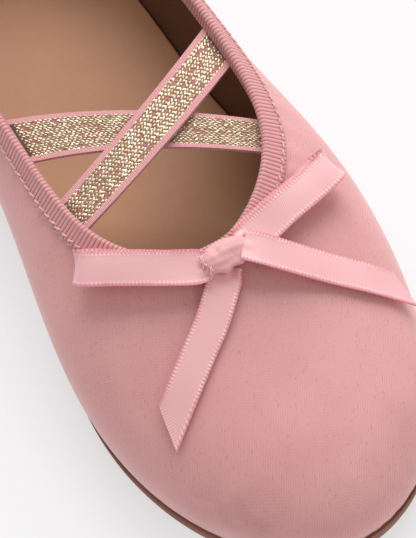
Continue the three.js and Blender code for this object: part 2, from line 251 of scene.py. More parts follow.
def addPiece(name, points, faces, material, uv=None, marks=None, crease=50):
    # millimetre points moved into the part's frame as metres, welded, facing outwards
    # and smooth up to a crease
    mesh = bpy.data.meshes.new(name)
    mesh.from_pydata((points.reshape(-1, 3) + shift) / 1000, [], faces)
    if uv is not None:
        mesh.uv_layers.new(name="pattern").uv.foreach_set("vector", uv.astype(np.float32).ravel())
    if marks is not None:
        layer = mesh.color_attributes.new("marks", "FLOAT_COLOR", "POINT")
        layer.data.foreach_set("color", marks.astype(np.float32).ravel())
    work = bmesh.new()
    work.from_mesh(mesh)
    bmesh.ops.remove_doubles(work, verts=work.verts, dist=1e-6)
    bmesh.ops.recalc_face_normals(work, faces=work.faces)
    work.to_mesh(mesh)
    work.free()
    mesh.shade_smooth()
    mesh.set_sharp_from_angle(angle=np.radians(crease))
    mesh.materials.append(material)
    piece = bpy.data.objects.new(name, mesh)
    bpy.context.collection.objects.link(piece)
    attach(piece, "root")
    print(name, len(mesh.polygons), "faces")
    return piece


def addRing(name, loops, material):
    # closed loops carried round the shoe and joined end to end
    return addPiece(name, loops, gridFaces(*loops.shape[:2], True, True), material)


def addBand(name, over, under, material, u, v, marks=None):
    # two faces of a strip joined along both edges, with its ends zipped shut
    loops = np.concatenate((over, under[:, ::-1]), 1)
    rows, columns = loops.shape[:2]
    j = np.arange(len(v) - 1)
    cap = np.stack((j, j + 1, columns - 2 - j, columns - 1 - j), -1)
    faces = np.concatenate((gridFaces(rows, columns, False, True), cap, cap + (rows - 1) * columns))
    capV = np.stack((v[j], v[j + 1], v[j + 1], v[j]), -1).reshape(-1)
    ends = [np.stack((np.full_like(capV, end), capV), -1) for end in (u[0], u[-1])]
    uv = np.concatenate([gridUv(u, np.concatenate((v, v[::-1], v[:1])))] + ends)
    if marks is not None:
        marks = np.concatenate((marks, marks[:, ::-1]), 1)
    return addPiece(name, loops, faces, material, uv, marks)


def addThreads(name, paths, ups, radius, material, sides=8):
    # round threads: a circle carried along each path, drawn to a point at both ends
    count, steps = paths.shape[:2]
    along = unit(np.gradient(paths, axis=1))
    across = unit(np.cross(ups, along))
    above = np.cross(along, across)
    t = np.linspace(-1, 1, steps)[None, :, None, None]
    swell = radius * np.sqrt(np.maximum(0.0, 1 - np.abs(t) ** 5))
    angle = np.linspace(0, 2 * np.pi, sides, endpoint=False)[None, None, :, None]
    circle = np.cos(angle) * across[:, :, None] + np.sin(angle) * above[:, :, None]
    rings = paths[:, :, None] + swell * circle
    single = gridFaces(steps, sides, False, True)
    faces = (single[None] + np.arange(count)[:, None, None] * steps * sides).reshape(-1, 4)
    return addPiece(name, rings, faces, material, crease=180)


# Shader tools


def tint(red, green, blue):
    # screen colour, 0 to 255, as linear light
    c = np.array((red, green, blue)) / 255
    light = np.where(c <= 0.04045, c / 12.92, ((c + 0.055) / 1.055) ** 2.4)
    return (*light.tolist(), 1.0)


def startFinish(name, **values):
    # a material with fixed numbers set on the shader's own sockets
    material = bpy.data.materials.new(name)
    material.use_nodes = True
    shader = material.node_tree.nodes["Principled BSDF"]
    for socket, value in values.items():
        shader.inputs[socket.replace("_", " ")].default_value = value
    return material, material.node_tree, shader


def put(tree, kind, values, **settings):
    # one node with each input set or linked
    node = tree.nodes.new("ShaderNode" + kind)
    for key, value in settings.items():
        setattr(node, key, value)
    for key, value in values.items():
        if isinstance(value, bpy.types.NodeSocket):
            tree.links.new(value, node.inputs[key])
        else:
            node.inputs[key].default_value = value
    return node


def calc(tree, operation, *values):
    # one step of arithmetic on the values in order
    return put(tree, "Math", dict(enumerate(values)), operation=operation).outputs[0]


def mixColour(tree, share, first, second):
    # the first colour at share 0, the second at share 1
    return put(tree, "Mix", {0: share, 6: first, 7: second}, data_type="RGBA").outputs[2]


def band(tree, value, low, high, start=0.0, end=1.0):
    # smooth ramp from start to end while the value goes from low to high
    inputs = {"Value": value, "From Min": low, "From Max": high, "To Min": start, "To Max": end}
    return put(tree, "MapRange", inputs, interpolation_type="SMOOTHSTEP").outputs[0]


def objectPlace(tree, scale=(1, 1, 1), turn=(0, 0, 0)):
    # the piece's own coordinates in metres, turned and then stretched
    place = put(tree, "TexCoord", {}).outputs["Object"]
    turned = put(tree, "Mapping", {"Vector": place, "Rotation": turn}).outputs[0]
    return put(tree, "Mapping", {"Vector": turned, "Scale": scale}).outputs[0]


def patternPlace(tree):
    # the piece's own uv map in millimetres: along, across
    place = put(tree, "UVMap", {}, uv_map="pattern").outputs[0]
    parts = put(tree, "SeparateXYZ", {0: place})
    return parts.outputs[0], parts.outputs[1]


def grain(tree, place, scale, detail=2.0, roughness=0.5):
    # soft noise from 0 to 1
    inputs = {"Vector": place, "Scale": scale, "Detail": detail, "Roughness": roughness}
    return put(tree, "TexNoise", inputs).outputs[0]


def wave(tree, value, pitch):
    # sine of a length over its pitch, from 0 to 1
    angle = calc(tree, "MULTIPLY", value, 2 * np.pi / pitch)
    return calc(tree, "MULTIPLY_ADD", calc(tree, "SINE", angle), 0.5, 0.5)


def bump(tree, height, distance, strength):
    # a height pattern as relief, its distance in millimetres
    inputs = {"Height": height, "Distance": distance / 1000, "Strength": strength}
    return put(tree, "Bump", inputs).outputs[0]


def endFinish(tree, shader, colour=None, roughness=None, normal=None, metallic=None):
    # what varies over the surface, linked to the shader
    links = {"Base Color": colour, "Roughness": roughness, "Normal": normal, "Metallic": metallic}
    for socket, value in links.items():
        if value is not None:
            tree.links.new(value, shader.inputs[socket])


# Finishes


satinWeave = {
    "turn": 0.57,                # of the warp round the upright, radians
    "warpPitch": 0.5,
    "weftPitch": 0.6,
    "dirt": 0.24,
    "darkAhead": (0.05, 0.085),  # metres towards the toe over which the darkening sets in
    "dirtBelow": (0.016, 0.03),  # metres above the floor over which it fades out
}


def fadeAlong(tree, threads, across):
    # threads levelled where the cloth lies along their planes and the pattern would spread into rings
    facing = put(tree, "TexCoord", {}).outputs["Normal"]
    slant = put(tree, "VectorMath", {0: facing, 1: across}, operation="DOT_PRODUCT").outputs[1]
    show = band(tree, calc(tree, "ABSOLUTE", slant), 0.72, 0.9, 1.0, 0.0)
    return put(tree, "Mix", {0: show, 2: 0.5, 3: threads}).outputs[0]


def makeSatin():
    # woven satin: warp and weft as two sines, broken up by slubs, with soft mottling and darker blotches low
    # on the toe
    s = satinWeave
    material, tree, shader = startFinish(
        "roseSatin", Specular_IOR_Level=0.35, Sheen_Weight=0.55, Sheen_Roughness=0.45)
    shader.inputs["Sheen Tint"].default_value = tint(255, 222, 220)
    turn = (0, 0, s["turn"])
    sine, cosine = np.sin(s["turn"]), np.cos(s["turn"])
    woven = put(tree, "SeparateXYZ", {0: objectPlace(tree, (1000, 1000, 1000), turn)})
    jitter = grain(tree, objectPlace(tree), 900.0, 1.0)
    warp = wave(tree, calc(tree, "MULTIPLY_ADD", jitter, 0.5, woven.outputs[1]), s["warpPitch"])
    weft = wave(tree, calc(tree, "MULTIPLY_ADD", jitter, 0.7, woven.outputs[0]), s["weftPitch"])
    slubs = grain(tree, objectPlace(tree, (800, 2300, 1500), turn), 1.0, 2.0)
    mottle = grain(tree, objectPlace(tree), 45.0, 3.0)
    warp = fadeAlong(tree, warp, (sine, cosine, 0.0))
    weft = fadeAlong(tree, weft, (cosine, -sine, 0.0))
    patches = band(tree, grain(tree, objectPlace(tree), 70.0, 1.0), 0.4, 0.6)
    weave = put(tree, "Mix", {0: patches, 2: warp, 3: calc(tree, "MULTIPLY", warp, weft)}).outputs[0]
    base = mixColour(tree, band(tree, mottle, 0.3, 0.7), tint(224, 162, 161), tint(230, 170, 169))
    base = mixColour(tree, band(tree, weave, 0.0, 1.0, 0.22, 0.0), base, tint(178, 118, 116))
    base = mixColour(tree, band(tree, slubs, 0.58, 0.76, 0.0, 0.45), base, tint(178, 120, 117))
    low = put(tree, "SeparateXYZ", {0: objectPlace(tree)})
    # darker blotches towards the toe, fading out above the floor
    toeDarkening = band(tree, grain(tree, objectPlace(tree), 75.0, 4.0, 0.6), 0.46, 0.72)
    toeDarkening = calc(tree, "MULTIPLY", toeDarkening, band(tree, low.outputs[0], *s["darkAhead"]))
    toeDarkening = calc(tree, "MULTIPLY", toeDarkening, band(tree, low.outputs[2], *s["dirtBelow"], s["dirt"], 0.0))
    base = mixColour(tree, toeDarkening, base, tint(156, 112, 107))
    gloss = band(tree, mottle, 0.25, 0.75, 0.4, 0.5)
    endFinish(tree, shader, base, gloss, bump(tree, weave, 0.03, 0.3))
    return material


def makeRibbonSatin(name, selvedge):
    # ribbon: fine slanted twill, with pale picot bars just inside a deeper selvedge where its edges show; the
    # picots' paleness comes and goes in cloudy patches as painted highlight
    material, tree, shader = startFinish(name, Specular_IOR_Level=0.5, Sheen_Weight=0.2, Sheen_Roughness=0.3)
    shader.inputs["Sheen Tint"].default_value = tint(255, 225, 225)
    along, across = patternPlace(tree)
    side = calc(tree, "ABSOLUTE", across)
    slanted = calc(tree, "MULTIPLY_ADD", along, 0.42, across)
    twill = wave(tree, slanted, 0.42)
    weft = wave(tree, along, 0.3)
    base = mixColour(tree, twill, tint(237, 171, 175), tint(251, 201, 202))
    base = mixColour(tree, calc(tree, "MULTIPLY", weft, 0.18), base, tint(226, 150, 160))
    height = calc(tree, "MULTIPLY", twill, 0.4)
    if not selvedge:
        cloud = grain(tree, objectPlace(tree), 420.0, 3.0)
        base = mixColour(tree, band(tree, cloud, 0.3, 0.7, 0.85, 0.6), base, tint(232, 170, 170))
        endFinish(tree, shader, base, band(tree, cloud, 0.3, 0.7, 0.68, 0.58), bump(tree, cloud, 0.5, 0.6))
        return material
    edge = band(tree, side, 3.15, 3.4)
    base = mixColour(tree, calc(tree, "MULTIPLY", edge, 0.68), base, tint(226, 132, 142))
    picotRow = calc(tree, "MULTIPLY", band(tree, side, 2.8, 3.0), band(tree, side, 3.45, 3.6, 1.0, 0.0))
    picot = calc(tree, "MULTIPLY", picotRow, band(tree, wave(tree, along, 0.83), 0.4, 0.75))
    # painted highlight: the picots' paleness thinned in cloudy patches along the edge
    picotGlints = band(tree, grain(tree, objectPlace(tree), 300.0, 2.0), 0.35, 0.65, 0.15, 0.6)
    base = mixColour(tree, calc(tree, "MULTIPLY", picot, picotGlints), base, tint(255, 230, 228))
    height = calc(tree, "ADD", height, calc(tree, "MULTIPLY", picot, 0.8))
    gloss = band(tree, edge, 0.0, 1.0, 0.33, 0.55)
    endFinish(tree, shader, base, gloss, bump(tree, height, 0.08, 0.5))
    return material


def makeGrosgrain():
    # ribbed tape: painted shade in the grooves, with fine threads over each rib
    material, tree, shader = startFinish(
        "ribbedTape", Specular_IOR_Level=0.3, Roughness=0.6, Sheen_Weight=0.3)
    shader.inputs["Sheen Tint"].default_value = tint(255, 214, 214)
    marks = put(tree, "VertexColor", {}, layer_name="marks").outputs[0]
    ridge = put(tree, "SeparateColor", {0: marks}).outputs[0]
    across = patternPlace(tree)[1]
    threads = wave(tree, across, 0.28)
    # painted shade: the grooves of the rib profile coloured far darker than the ribs
    base = mixColour(tree, band(tree, ridge, 0.1, 0.8), tint(148, 84, 88), tint(222, 158, 157))
    base = mixColour(tree, calc(tree, "MULTIPLY", threads, 0.16), base, tint(236, 180, 180))
    cloud = grain(tree, objectPlace(tree), 120.0, 3.0)
    base = mixColour(tree, band(tree, cloud, 0.35, 0.75, 0.0, 0.2), base, tint(196, 134, 138))
    endFinish(tree, shader, base, None, bump(tree, threads, 0.05, 0.4))
    return material


def makeGlitterElastic():
    # knitted elastic: metal flecks over a pink ground, painted shade between them and at the strap ends, pink
    # ribbed selvedges
    material, tree, shader = startFinish("glitterElastic", Specular_IOR_Level=0.5)
    paint = put(tree, "VertexColor", {}, layer_name="marks")
    parts = put(tree, "SeparateColor", {0: paint.outputs[0]})
    fleck, tone, selvedge = (parts.outputs[i] for i in range(3))
    metal = band(tree, fleck, 0.2, 0.55)
    # the pink ground goes near black by the marks' alpha: painted shade in rings round the flecks and at the
    # strap ends
    groundAndShade = mixColour(tree, paint.outputs[1], tint(196, 130, 122), tint(70, 47, 33))
    gold = mixColour(tree, tone, tint(176, 160, 118), tint(240, 231, 200))
    base = mixColour(tree, metal, groundAndShade, gold)
    along = patternPlace(tree)[0]
    ribs = wave(tree, along, 0.36)
    pink = mixColour(tree, ribs, tint(208, 142, 144), tint(240, 186, 187))
    base = mixColour(tree, selvedge, base, pink)
    shine = calc(tree, "MULTIPLY", metal, calc(tree, "SUBTRACT", 1.0, selvedge))
    gloss = band(tree, shine, 0.0, 1.0, 0.75, 0.36)
    endFinish(tree, shader, base, gloss, None, calc(tree, "MULTIPLY", shine, 0.7))
    return material


def makeLeather(name, light, dark, gloss, pore, depth):
    # smooth leather: fine pores, soft cloudy colour and a little wear in the shine
    material, tree, shader = startFinish(name, Specular_IOR_Level=0.4)
    cloud = grain(tree, objectPlace(tree), 28.0, 4.0, 0.6)
    pores = put(tree, "TexVoronoi", {"Vector": objectPlace(tree), "Scale": pore}, feature="F1").outputs[0]
    fine = grain(tree, objectPlace(tree), pore * 0.6, 3.0)
    base = mixColour(tree, band(tree, cloud, 0.25, 0.75), dark, light)
    base = mixColour(tree, band(tree, pores, 0.0, 0.35, 0.25, 0.0), base, dark)
    height = calc(tree, "ADD", pores, fine)
    shine = band(tree, cloud, 0.3, 0.7, gloss, gloss + 0.1)
    endFinish(tree, shader, base, shine, bump(tree, height, depth, 0.35))
    return material


def makeSoleRubber():
    # moulded sole: matte brown with cloudy colour and a paler fine stipple
    material, tree, shader = startFinish("soleRubber", Specular_IOR_Level=0.3)
    cloud = grain(tree, objectPlace(tree), 90.0, 5.0, 0.65)
    stipple = grain(tree, objectPlace(tree), 1900.0, 2.0)
    base = mixColour(tree, band(tree, cloud, 0.3, 0.72), tint(128, 84, 70), tint(156, 108, 92))
    base = mixColour(tree, band(tree, stipple, 0.55, 0.8, 0.0, 0.3), base, tint(170, 126, 110))
    endFinish(tree, shader, base, band(tree, cloud, 0.3, 0.7, 0.62, 0.8), bump(tree, stipple, 0.1, 0.4))
    return material


def makeThread(name, light, dark):
    # sewing thread: its plies as fine light and dark grain
    material, tree, shader = startFinish(name, Specular_IOR_Level=0.3, Roughness=0.55, Sheen_Weight=0.3)
    plies = grain(tree, objectPlace(tree, (1, 1, 1), (0.4, 0.3, 0.7)), 2600.0, 1.0)
    base = mixColour(tree, band(tree, plies, 0.35, 0.65), dark, light)
    endFinish(tree, shader, base, None, bump(tree, plies, 0.05, 0.5))
    return material


satin = makeSatin()
ribbonSatin = makeRibbonSatin("ribbonSatin", True)
knotSatin = makeRibbonSatin("knotSatin", False)
grosgrain = makeGrosgrain()
glitter = makeGlitterElastic()
tanLeather = makeLeather("tanInsole", tint(212, 155, 114), tint(195, 137, 98), 0.42, 1500.0, 0.05)
brownLining = makeLeather("brownLining", tint(120, 81, 61), tint(100, 66, 49), 0.55, 1300.0, 0.05)
soleRubber = makeSoleRubber()
paleThread = makeThread("paleThread", tint(238, 197, 191), tint(206, 153, 149))
print("finishes made")

# Upper

upperSize = {
    "around": 560,
    "up": 112,
    "inside": 18,
    "cloth": 0.8,            # satin with its backing, the lining takes the rest of the wall
    "footTuck": 0.012,       # share of the rise that runs on into the joint with the sole
    "footAround": 480.0,     # rough lengths round the foot and the rim
    "rimAround": 310.0,
    "puckerPitch": 6.5,      # lasting pleats round the toe
    "puckerDepth": 0.06,
    "puckerHeight": 5.0,
    "puckerReach": 52.0,     # along the foot from the toe tip, each way
    "seamPitch": 5.4,        # small puckers along the collar seam
    "seamDepth": 0.1,
}


def wallRelief(turn, rise):
    # soft ridges and troughs: pleats drawn under at the toe and puckers below the collar seam
    s = upperSize
    handles = wallHandles(turn)
    reach = np.linalg.norm(handles[3] - handles[0], axis=-1)
    height = rise * reach
    signed = (turn + 0.5) % 1.0 - 0.5
    alongFoot = signed * s["footAround"]
    pleat = np.sin(2 * np.pi * alongFoot / s["puckerPitch"] + 1.3 * np.sin(alongFoot / 9))
    pleat = pleat * bell(height, 0.0, s["puckerHeight"]) * bell(alongFoot, 0.0, s["puckerReach"])
    alongRim = turn * s["rimAround"]
    seam = np.sin(2 * np.pi * alongRim / s["seamPitch"] + 1.1 * np.sin(alongRim / 7))
    seam = seam * bell((1 - rise) * reach * 1.1, 7.0, 2.6)
    return s["puckerDepth"] * pleat + s["seamDepth"] * seam


def makeUpper():
    # wall sections carried round the last: outer face with its relief, then the back of the cloth
    s = upperSize
    turn = evenTurns(s["around"], lambda t: alongWall(wallHandles(t), np.full_like(t, 0.45)))[0][:, None]
    top = riseBelow(turn, np.full(turn.shape, tapeSize["satinStop"]))
    rise = -s["footTuck"] + (top + s["footTuck"]) * np.linspace(0, 1, s["up"])[None]
    outer = offWall(turn, rise, wallRelief(turn, rise))
    back = -s["footTuck"] + (top + s["footTuck"]) * np.linspace(1, 0, s["inside"])[None]
    inner = offWall(turn, back, np.full(back.shape, -s["cloth"]))
    piece = addRing("upperSatin", np.concatenate((outer, inner), 1), satin)
    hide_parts("upper")


liningSize = {
    "around": 240,
    "up": 30,
    "behind": 0.02,          # clear of the back of the satin
}


def makeLining():
    # the inner half of the same wall, from its foot to just under the tape
    s = liningSize
    turn = np.linspace(0, 1, s["around"], endpoint=False)[:, None]
    climb = riseBelow(turn, np.full(turn.shape, tapeSize["liningStop"])) * np.linspace(0, 1, s["up"])[None]
    face = offWall(turn, climb[:, ::-1], np.full(climb.shape, -last["wall"]))
    back = offWall(turn, climb, np.full(climb.shape, -upperSize["cloth"] - s["behind"]))
    addRing("liningWall", np.concatenate((back, face), 1), brownLining)


# Collar tape

tapeSize = {
    "outside": 5.0,
    "inside": 4.0,
    "stand": 0.95,           # outer face off the wall
    "innerFace": -2.55,
    "shoulder": 0.1,         # where the outer leg ends and the fold over the rim starts
    "foldBack": -1.0,
    "foldHeight": 0.8,
    "slopeEnd": 1.7,
    "satinStop": 4.3,        # the satin and the lining end under the tape, below the rim
    "liningStop": 2.6,
    "ribLine": (2.0, 0.9),   # down and off where the ribs are evenly spaced
    "ribPitch": 1.05,
    "ribDepth": 0.15,
    "samplesPerRib": 7,
}


def tapeSection():
    # outer leg along the wall, half ellipse over the rim, slope to the inner leg, and back along the wall:
    # down, off and an outward push
    s = tapeSize
    leg = np.linspace(s["outside"] - 0.35, s["shoulder"], 10, endpoint=False)
    face = np.stack((leg, np.full_like(leg, s["stand"])), -1)
    angle = np.linspace(0, np.pi, 11)
    middle = (s["stand"] + s["foldBack"]) / 2
    half = (s["stand"] - s["foldBack"]) / 2
    fold = np.stack((s["shoulder"] - s["foldHeight"] * np.sin(angle), middle + half * np.cos(angle)), -1)
    low = np.linspace(s["slopeEnd"], s["inside"] - 0.35, 5)
    inner = np.stack((low, np.full_like(low, s["innerFace"])), -1)
    lip = np.array(((s["outside"], 0.1), (s["outside"] + 0.05, 0.5), (s["outside"] - 0.1, 0.82)))
    hem = np.array(((s["inside"], s["innerFace"] + 0.2), (s["inside"], -last["wall"] - 0.05)))
    wallSide = np.array(((2.6, -last["wall"] - 0.15), (1.6, -last["wall"] - 0.1), (s["outside"] - 0.5, 0.05)))
    show = np.concatenate((lip, face, fold, inner, hem))
    push = unit(np.gradient(show, axis=0)) @ np.array(((0.0, 1.0), (-1.0, 0.0)))
    depth = np.concatenate(([0.0, 0.6], np.ones(len(show) - 4), [0.6, 0.0]))[:, None]
    return np.concatenate((show, wallSide)), np.concatenate((-push * depth, np.zeros((3, 2))))


def squareTurns(turn, down):
    # turns shifted so that a line down from the rim is square to it: the wall's slant along the rim taken off
    handles = wallHandles(turn)
    step = (wallHandles(turn + nudge)[3] - wallHandles(turn - nudge)[3]) / (2 * nudge)
    speed = np.linalg.norm(step, axis=-1)
    slantAlong = (unit(handles[2] - handles[3]) * unit(step)).sum(-1)
    return turn - slantAlong / speed * down


def makeTape():
    # the section carried round the rim, pushed out in round ribs square to it
    s = tapeSize
    section, push = tapeSection()
    curve = lambda t: belowRim(t, *(np.full_like(t, part) for part in s["ribLine"]))
    ribs = int(round(evenTurns(10, curve)[1] / s["ribPitch"]))
    count = ribs * s["samplesPerRib"]
    turns = evenTurns(count, curve)[0]
    run = np.concatenate(([0.0], np.cumsum(np.linalg.norm(np.diff(section, axis=0), axis=-1))))
    along = np.arange(count) / s["samplesPerRib"]
    phase = along[:, None] + 0.12 * np.sin(along * 0.37)[:, None] + 0 * run[None]
    ridge = np.abs(np.sin(np.pi * phase)) ** 0.8
    down = section[None, :, 0] + push[None, :, 0] * s["ribDepth"] * (ridge - 0.5)
    off = section[None, :, 1] + push[None, :, 1] * s["ribDepth"] * (ridge - 0.5)
    loops = belowRim(squareTurns(turns[:, None], down), down, off)
    # the rib profile also goes into the marks, where the tape's finish paints shade in the grooves
    marks = np.stack((ridge, ridge, ridge, np.ones_like(ridge)), -1)
    u = np.arange(count + 1) / s["samplesPerRib"] * s["ribPitch"]
    v = np.concatenate((run, run[-1:] + 1))
    faces = gridFaces(*loops.shape[:2], True, True)
    uv = gridUv(u, v)
    piece = addPiece("collarTape", loops, faces, grosgrain, uv, marks.reshape(-1, 4))
    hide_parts("collar_binding")


stitchSize = {
    "pitch": 2.3,
    "length": 2.05,
    "radius": 0.24,
    "down": 4.0,             # on the lower margin of the tape
    "off": 1.2,
    "backTack": (0.19, 0.262),   # turns where the seam is sewn twice, beside the bow's inner loop
    "tackDown": 5.3,
    "tackOff": 0.5,
}


def makeStitches():
    # one short bowed thread for each stitch, its ends dipping into the cloth
    s = stitchSize
    curve = lambda t: belowRim(t, np.full_like(t, s["down"]), np.full_like(t, s["off"]))
    length = evenTurns(4, curve)[1]
    count = int(length / s["pitch"])
    turns = evenTurns(count, curve)[0]
    tack = turns[(turns > s["backTack"][0]) & (turns < s["backTack"][1])] + 0.45 * s["pitch"] / length
    starts = np.concatenate((turns, tack))
    lines = np.concatenate((np.full(count, s["down"]), np.full(len(tack), s["tackDown"])))
    lifts = np.concatenate((np.full(count, s["off"]), np.full(len(tack), s["tackOff"])))
    k = np.linspace(-1, 1, 9)
    scatter = chance(np.arange(len(starts)), 3.0)
    speed = 1.0 / count * s["length"] / s["pitch"] / 2
    turn = starts[:, None] + k[None] * speed * (0.92 + 0.16 * scatter[:, None])
    slant = 0.1 + 0.3 * scatter
    down = lines[:, None] + slant[:, None] * k[None]
    off = lifts[:, None] - 0.45 * np.abs(k[None]) ** 4
    paths = belowRim(turn, down, off)
    ups = wallNormal(turn, riseBelow(turn, down))
    addThreads("collarStitches", paths, ups, s["radius"], paleThread)


# Elastic straps

strapSize = {
    "drop": 2.2,             # ends below the rim, held in the collar seam
    "endOff": -2.75,
    "halfThickness": 0.42,
    "selvedge": 1.4,
    "endShade": (2.7, 0.9),  # painted shade, dark, where the inner and outer ends go in under the tape
    "step": 0.14,
    "stitchPitch": 1.16,     # flecks along a row
    "rowPitch": 0.64,
    "fleck": (0.52, 0.27),   # half length and half width
    "tilt": 22,              # degrees, leaning alternately
    "fleckHeight": 0.22,
}
straps = (
    # turns of the collar at the back and front edges, inner side then outer side
    # lift is the rise of the arch, sway its bend towards the heel
    {"name": "strapUnder", "node": "strap_under", "inner": (0.3045, 0.2755), "outer": (0.781, 0.811),
     "lift": 1.4, "sway": 2.1, "seed": 3.0},
    {"name": "strapOver", "node": "strap_over", "inner": (0.242, 0.209), "outer": (0.705, 0.734),
     "lift": 3.2, "sway": -2.4, "seed": 11.0},
)


def glitterKnit(along, across, half, seed):
    # rows of slanted half ellipsoids, every other row shifted half a stitch; ribs on the selvedges
    s = strapSize
    row = np.floor(across / s["rowPitch"])
    moved = along + 0.5 * s["stitchPitch"] * (row % 2) + 0.3 * chance(row, seed)
    column = np.floor(moved / s["stitchPitch"])
    x = moved - (column + 0.5) * s["stitchPitch"] + 0.16 * (chance(row, column, seed) - 0.5)
    y = across - (row + 0.5) * s["rowPitch"] + 0.12 * (chance(column, row, seed + 1) - 0.5)
    lean = np.radians(s["tilt"]) * np.where(row % 2 == 0, 1, -1) + 0.5 * (chance(row, column, seed + 2) - 0.5)
    a = x * np.cos(lean) + y * np.sin(lean)
    b = y * np.cos(lean) - x * np.sin(lean)
    swell = 0.85 + 0.35 * chance(column, row, seed + 3)
    spread = (a / (s["fleck"][0] * swell)) ** 2 + (b / s["fleck"][1]) ** 2
    dome = np.clip(1 - spread, 0, 1)
    tone = chance(row, column, seed + 4)
    missing = chance(column, row, seed + 5) < 0.1
    dome = np.where(missing, 0, dome)
    near, far = s["endShade"]
    # painted shade at both ends of the strap, where it goes in under the tape; flecks are left out there too
    end = np.maximum(bell(along, 0.0, near), bell(along, along.max(), far)) + 0 * across
    dome = dome * (1 - end)
    tip = (chance(row, column, seed + 6) - 0.5) * a + (chance(row, column, seed + 7) - 0.5) * b
    edge = ease((np.abs(across) - half + s["selvedge"]) / 0.12) + 0 * along
    rib = 0.07 * np.sin(2 * np.pi * along / 0.36) * edge
    height = (s["fleckHeight"] * dome ** 0.4 * (0.8 + 1.1 * tip)) * (1 - edge) + rib + 0.1 * edge
    # a dark ring round each fleck, and the strap's ends, as painted shade in the marks' alpha
    rim = bell(np.sqrt(spread), 1.12, 0.34) * (0.5 + 0.5 * chance(row, column, seed + 8))
    rim = np.maximum(rim, end)
    marks = np.stack((dome ** 0.4, tone, edge, rim), -1)
    return height, marks


def makeStrap(strap):
    # straight edges between the collar's two sides, arched as 4t(1 - t), with the knit raised on the top face
    s = strapSize
    off = np.full(2, s["endOff"])
    ends = [belowRim(np.array(strap[side]), s["drop"], off) for side in ("inner", "outer")]
    length = np.linalg.norm(ends[1].mean(0) - ends[0].mean(0))
    half = np.linalg.norm(ends[0][0] - ends[0][1]) / 2 * 0.96
    t = np.linspace(0, 1, int(length / s["step"]))[:, None]
    w = np.linspace(-1, 1, int(2 * half / s["step"]))[None]
    edges = [ends[0][i] + t[..., None] * (ends[1][i] - ends[0][i]) for i in (0, 1)]
    share = (w[..., None] + 1) / 2
    arch = (4 * t * (1 - t))[..., None] * np.array((-strap["sway"], 0.0, strap["lift"]))
    middle = edges[0] + share * (edges[1] - edges[0]) + arch
    along = np.gradient(middle, axis=0)
    up = unit(np.cross(along, edges[0] - edges[1]))
    u = t[:, 0] * length
    v = w[0] * half
    height, marks = glitterKnit(u[:, None], v[None], half, strap["seed"])
    over = middle + up * (s["halfThickness"] + height)[..., None]
    under = middle - up * s["halfThickness"]
    piece = addBand(strap["name"], over, under, glitter, u, v, marks)
    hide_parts(strap["node"])


# Ribbon bow

ribbonSize = {
    "width": 7.6,
    "halfThickness": 0.2,
    "facing": 0.5,           # how far the ribbons face with the knot rather than the upper under them
    "step": 0.2,
    "columns": 29,
    "picotPitch": 0.83,
    "picotHeight": 0.1,
    "fold": 1.4,             # reach of a loop's fold beyond its last place
    "gather": 3.6,           # length near the knot over which the ribbon is drawn in
    "pinch": 0.84,           # share of the width left at the knot
    "pleatDepth": 2.3,       # times the share of the width drawn in
    "hollow": 0.22,
    "cutRun": 9.0,           # length over which a tail skews to its cut
    "picotBand": (2.8, 3.7),
    "scallop": 0.06,
}
bowPlace = {"turn": 0.985, "down": 4.1, "off": 4.2}
bowLoops = (
    # root inside the knot: along it, towards the heel, then the lower and upper heights
    # peep: how far the lower layer shows past the upper one
    # route: turn round the shoe, down from the rim, lower and upper heights off the upper
    {"name": "bowLoopInner", "node": "bow_loop_medial", "root": (-4.0, -0.5, -0.9, 0.4), "peep": -1.1,
     "route": np.array((
        (0.060, 4.1, 2.0, 4.4),
        (0.105, 3.4, 2.0, 5.0),
        (0.138, 3.8, 2.0, 5.2),
        (0.164, 5.2, 2.2, 5.3),
        (0.188, 7.6, 2.6, 5.3),
    ))},
    {"name": "bowLoopOuter", "node": "bow_loop_lateral", "root": (4.4, 0.9, -1.2, -0.4), "peep": 1.15,
     "route": np.array((
        (0.900, 5.0, 1.9, 3.3),
        (0.870, 7.0, 2.2, 4.4),
        (0.844, 10.5, 2.6, 5.4),
        (0.824, 13.7, 3.2, 5.8),
    ))},
)
bowTails = (
    # lead: how far the ribbon runs back into the knot, and its dip there
    # pinch: share of the width left at the knot
    # roll is about the ribbon's own line, slant the skew of the cut end
    # route: turn, down, height off the upper
    {"name": "bowTailInner", "node": "bow_tail_medial", "lead": (4.2, -0.5), "pinch": 0.82,
     "roll": -5, "slant": 8.0, "route": np.array((
        (0.017, 9.1, 2.2),
        (0.057, 16.3, 1.9),
        (0.081, 22.3, 1.7),
        (0.098, 28.5, 1.7),
        (0.118, 38.3, 1.8),
    ))},
    {"name": "bowTailOuter", "node": "bow_tail_lateral", "lead": (3.4, -0.6), "pinch": 0.97,
     "roll": -10, "slant": -6.0, "route": np.array((
        (0.930, 7.3, 5.3),
        (0.909, 14.3, 3.8),
        (0.892, 22.5, 2.0),
        (0.879, 31.2, 1.7),
        (0.869, 38.7, 1.9),
    ))},
)


